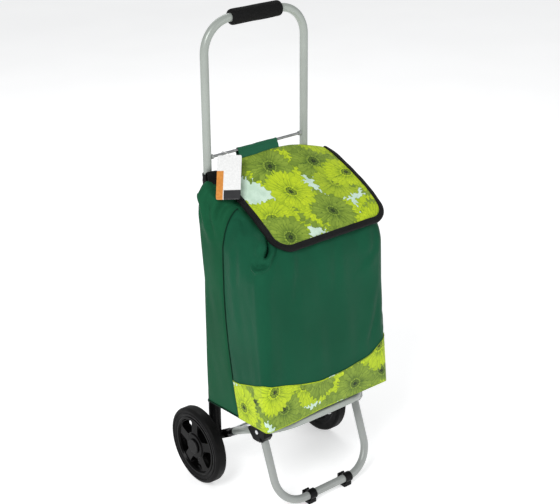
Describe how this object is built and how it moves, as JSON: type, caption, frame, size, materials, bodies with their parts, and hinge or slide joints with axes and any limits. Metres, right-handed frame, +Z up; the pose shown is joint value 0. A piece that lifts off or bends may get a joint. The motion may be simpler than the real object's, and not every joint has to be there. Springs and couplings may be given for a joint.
{
  "type": "shopping trolley",
  "caption": "Folding two-wheeled shopping trolley: steel tube handle frame with foam grip, folding platform and foot, tall fabric bag with slanted top flap.",
  "frame": {"origin": "on the ground, under the middle of the trolley's bounding box", "axes": "+Z up, -Y the side the bag faces (front), wheels at +Y"},
  "size_m": [0.3509, 0.305, 0.968],
  "materials": {
    "tube_paint": "satin silver-grey powder coat",
    "foot_paint": "satin silver-grey powder coat",
    "zinc": "bright zinc plate",
    "black_plastic": "moulded, fine grain",
    "wheel_plastic": "moulded, satin",
    "wheel_tread": "matt",
    "foam": "closed-cell foam skin",
    "fabric_green": "coated polyester weave",
    "fabric_side": "coated polyester weave",
    "fabric_band": "printed polyester",
    "fabric_flap": "printed polyester",
    "binding": "woven tape",
    "board": "corrugated board",
    "card": "coated card"
  },
  "bodies": {
    "frame": {"handle_frame": "tube_paint", "handle_grip": "foam", "bag_rod": "zinc", "axle": "zinc", "rod_sleeve": "fabric_green", "bag_front": "fabric_green", "bag_back": "fabric_green", "bag_bottom": "fabric_green", "bag_collar": "fabric_green", "bag_print_band": "fabric_band", "base_board": "board", "rod_grommet_left": "foot_paint", "rod_grommet_right": "foot_paint", "leg_socket_left": "black_plastic", "leg_socket_right": "black_plastic", "socket_rivet_left": "zinc", "socket_rivet_right": "zinc", "axle_collar_left": "zinc", "axle_collar_right": "zinc", "wheel_washer_left": "zinc", "wheel_washer_right": "zinc", "axle_cap_left": "black_plastic", "axle_cap_right": "black_plastic", "bag_side_left": "fabric_side", "bag_side_right": "fabric_side", "upper_loop_left": "binding", "upper_loop_right": "binding", "lower_loop_left": "binding", "lower_loop_right": "binding"},
    "platform": {"platform_tube": "tube_paint", "base_rivet": "zinc", "arm_end_left": "black_plastic", "arm_end_right": "black_plastic", "foot_bracket_left": "black_plastic", "foot_bracket_right": "foot_paint", "bracket_rivet_left": "zinc", "bracket_rivet_right": "zinc", "foot_pin_left": "black_plastic", "foot_pin_right": "black_plastic"},
    "foot": {"foot_tube": "foot_paint", "foot_plug_left": "foot_paint", "foot_plug_right": "foot_paint", "foot_clip_left": "black_plastic", "foot_clip_right": "black_plastic"},
    "wheel_left": {"wheel_rim_left": "wheel_plastic", "wheel_tyre_left": "wheel_tread", "wheel_bush_left": "wheel_plastic"},
    "wheel_right": {"wheel_rim_right": "wheel_plastic", "wheel_tyre_right": "wheel_tread", "wheel_bush_right": "wheel_plastic"},
    "flap": {"flap": "fabric_flap", "flap_binding": "binding"},
    "tag": {"tag_card": "card", "tag_cord": "card"}
  },
  "joints": [
    {"name": "platform_fold", "type": "hinge", "parent": "frame", "child": "platform", "pos_m": [0, 0.072, 0.0815], "axis": [-1, 0, 0], "range_deg": [0, 43], "deforming": ["bag_front", "bag_back", "bag_bottom", "bag_collar", "bag_print_band", "bag_side_left", "bag_side_right", "base_board", "lower_loop_left", "lower_loop_right"]},
    {"name": "foot_fold", "type": "hinge", "parent": "platform", "child": "foot", "pos_m": [0.002, -0.0921, 0.1541], "axis": [1, 0, 0], "range_deg": [0, 72]},
    {"name": "wheel_left_spin", "type": "hinge", "parent": "frame", "child": "wheel_left", "pos_m": [-0.1598, 0.072, 0.0815], "axis": [1, 0, 0], "continuous": true},
    {"name": "wheel_right_spin", "type": "hinge", "parent": "frame", "child": "wheel_right", "pos_m": [0.1598, 0.072, 0.0815], "axis": [1, 0, 0], "continuous": true},
    {"name": "flap_open", "type": "hinge", "parent": "frame", "child": "flap", "pos_m": [0.033, 0.0475, 0.6605], "axis": [-1, 0, 0], "range_deg": [0, 98]},
    {"name": "tag_swing", "type": "hinge", "parent": "frame", "child": "tag", "pos_m": [-0.08, 0.05968, 0.69538], "axis": [-1, 0, 0], "range_deg": [0, 103.4]}
  ],
  "couplings": [
    {"joint": "tag_swing", "follows": "flap_open", "ratio": 1.05}
  ]
}
